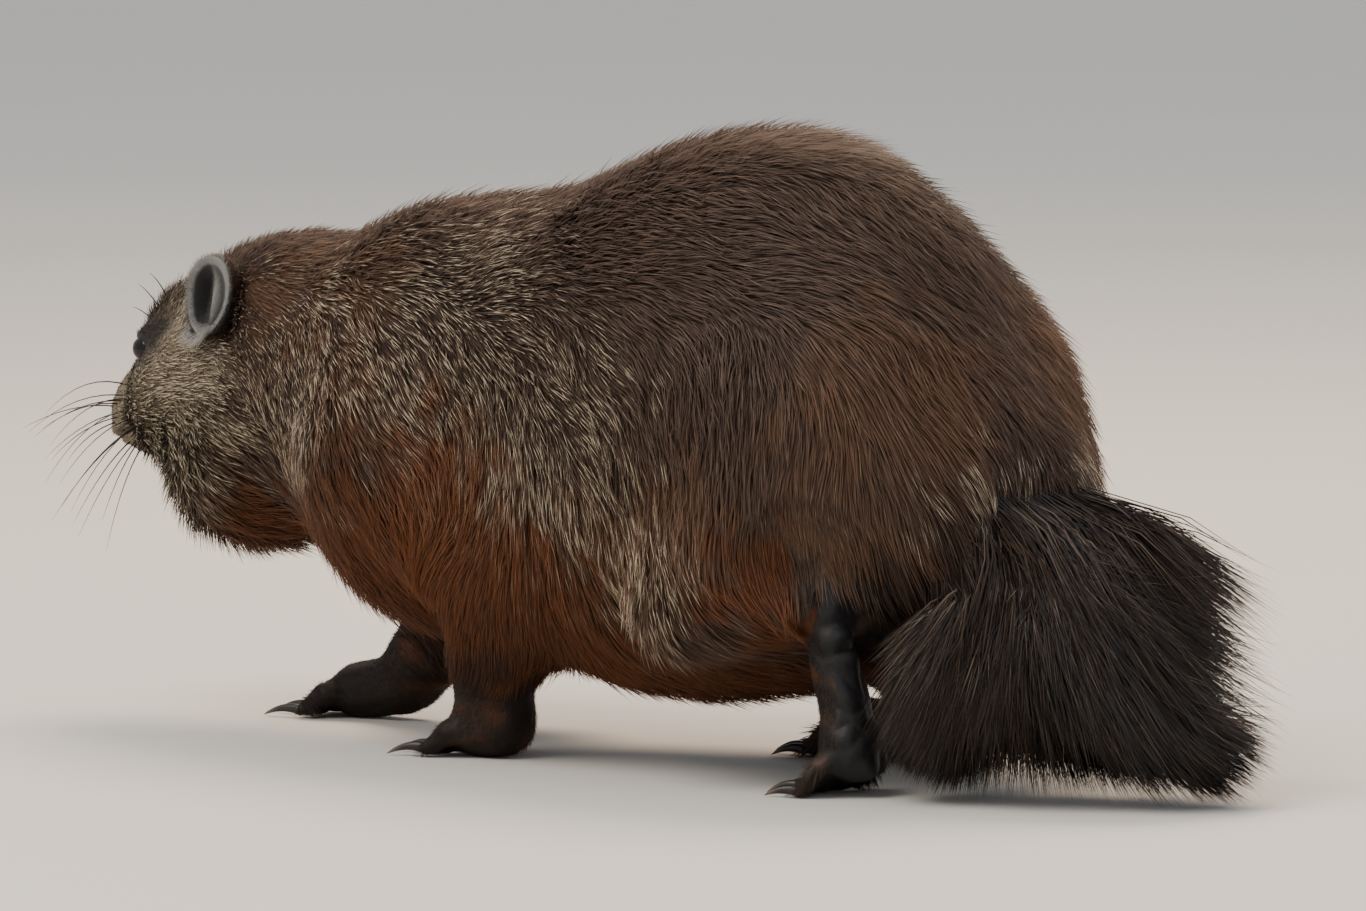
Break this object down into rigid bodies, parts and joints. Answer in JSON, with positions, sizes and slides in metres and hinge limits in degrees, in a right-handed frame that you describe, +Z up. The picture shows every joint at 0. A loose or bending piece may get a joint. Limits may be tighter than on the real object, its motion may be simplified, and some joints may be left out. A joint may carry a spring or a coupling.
{
  "type": "groundhog model",
  "caption": "Life-size still model of a walking groundhog with arched back, lowered head and bushy tail, for display on a flat surface.",
  "frame": {"origin": "on the floor, at the middle of the bounding box's bottom face", "axes": "+X towards the tail, +Y towards the animal's right side, +Z up; the head points along -X"},
  "size_m": [0.5686, 0.1908, 0.237],
  "materials": {
    "back_coat": "dark brown guard hair with tan tips, soft and matt",
    "grizzled_coat": "grizzled tan, cream and black guard hair",
    "russet_coat": "rust-orange fur on chest and legs",
    "tail_coat": "very dark brown bushy guard hair",
    "foot": "black short hair over bare dark grey pads",
    "ear": "short grey hair on the rim, dark bare skin inside",
    "nose": "damp black nose skin",
    "eye": "wet, almost black",
    "claw": "dark horn, half gloss"
  },
  "bodies": {
    "root": {"belly": "back_coat", "chest": "grizzled_coat", "claw_forefoot_left_1": "claw", "claw_forefoot_left_2": "claw", "claw_forefoot_left_3": "claw", "claw_forefoot_left_4": "claw", "claw_forefoot_right_1": "claw", "claw_forefoot_right_2": "claw", "claw_forefoot_right_3": "claw", "claw_forefoot_right_4": "claw", "claw_hindfoot_left_1": "claw", "claw_hindfoot_left_2": "claw", "claw_hindfoot_left_3": "claw", "claw_hindfoot_left_4": "claw", "claw_hindfoot_left_5": "claw", "claw_hindfoot_right_1": "claw", "claw_hindfoot_right_2": "claw", "claw_hindfoot_right_3": "claw", "claw_hindfoot_right_4": "claw", "claw_hindfoot_right_5": "claw", "ear_left": "ear", "ear_right": "ear", "eye_left": "eye", "eye_right": "eye", "forearm_left": "russet_coat", "forearm_right": "russet_coat", "forefoot_left": "foot", "forefoot_right": "foot", "head": "grizzled_coat", "hindfoot_left": "foot", "hindfoot_right": "foot", "neck": "grizzled_coat", "nose": "nose", "rump": "back_coat", "shank_left": "russet_coat", "shank_right": "russet_coat", "tail": "tail_coat", "thigh_left": "back_coat", "thigh_right": "back_coat", "upper_arm_left": "russet_coat", "upper_arm_right": "russet_coat"}
  },
  "joints": []
}
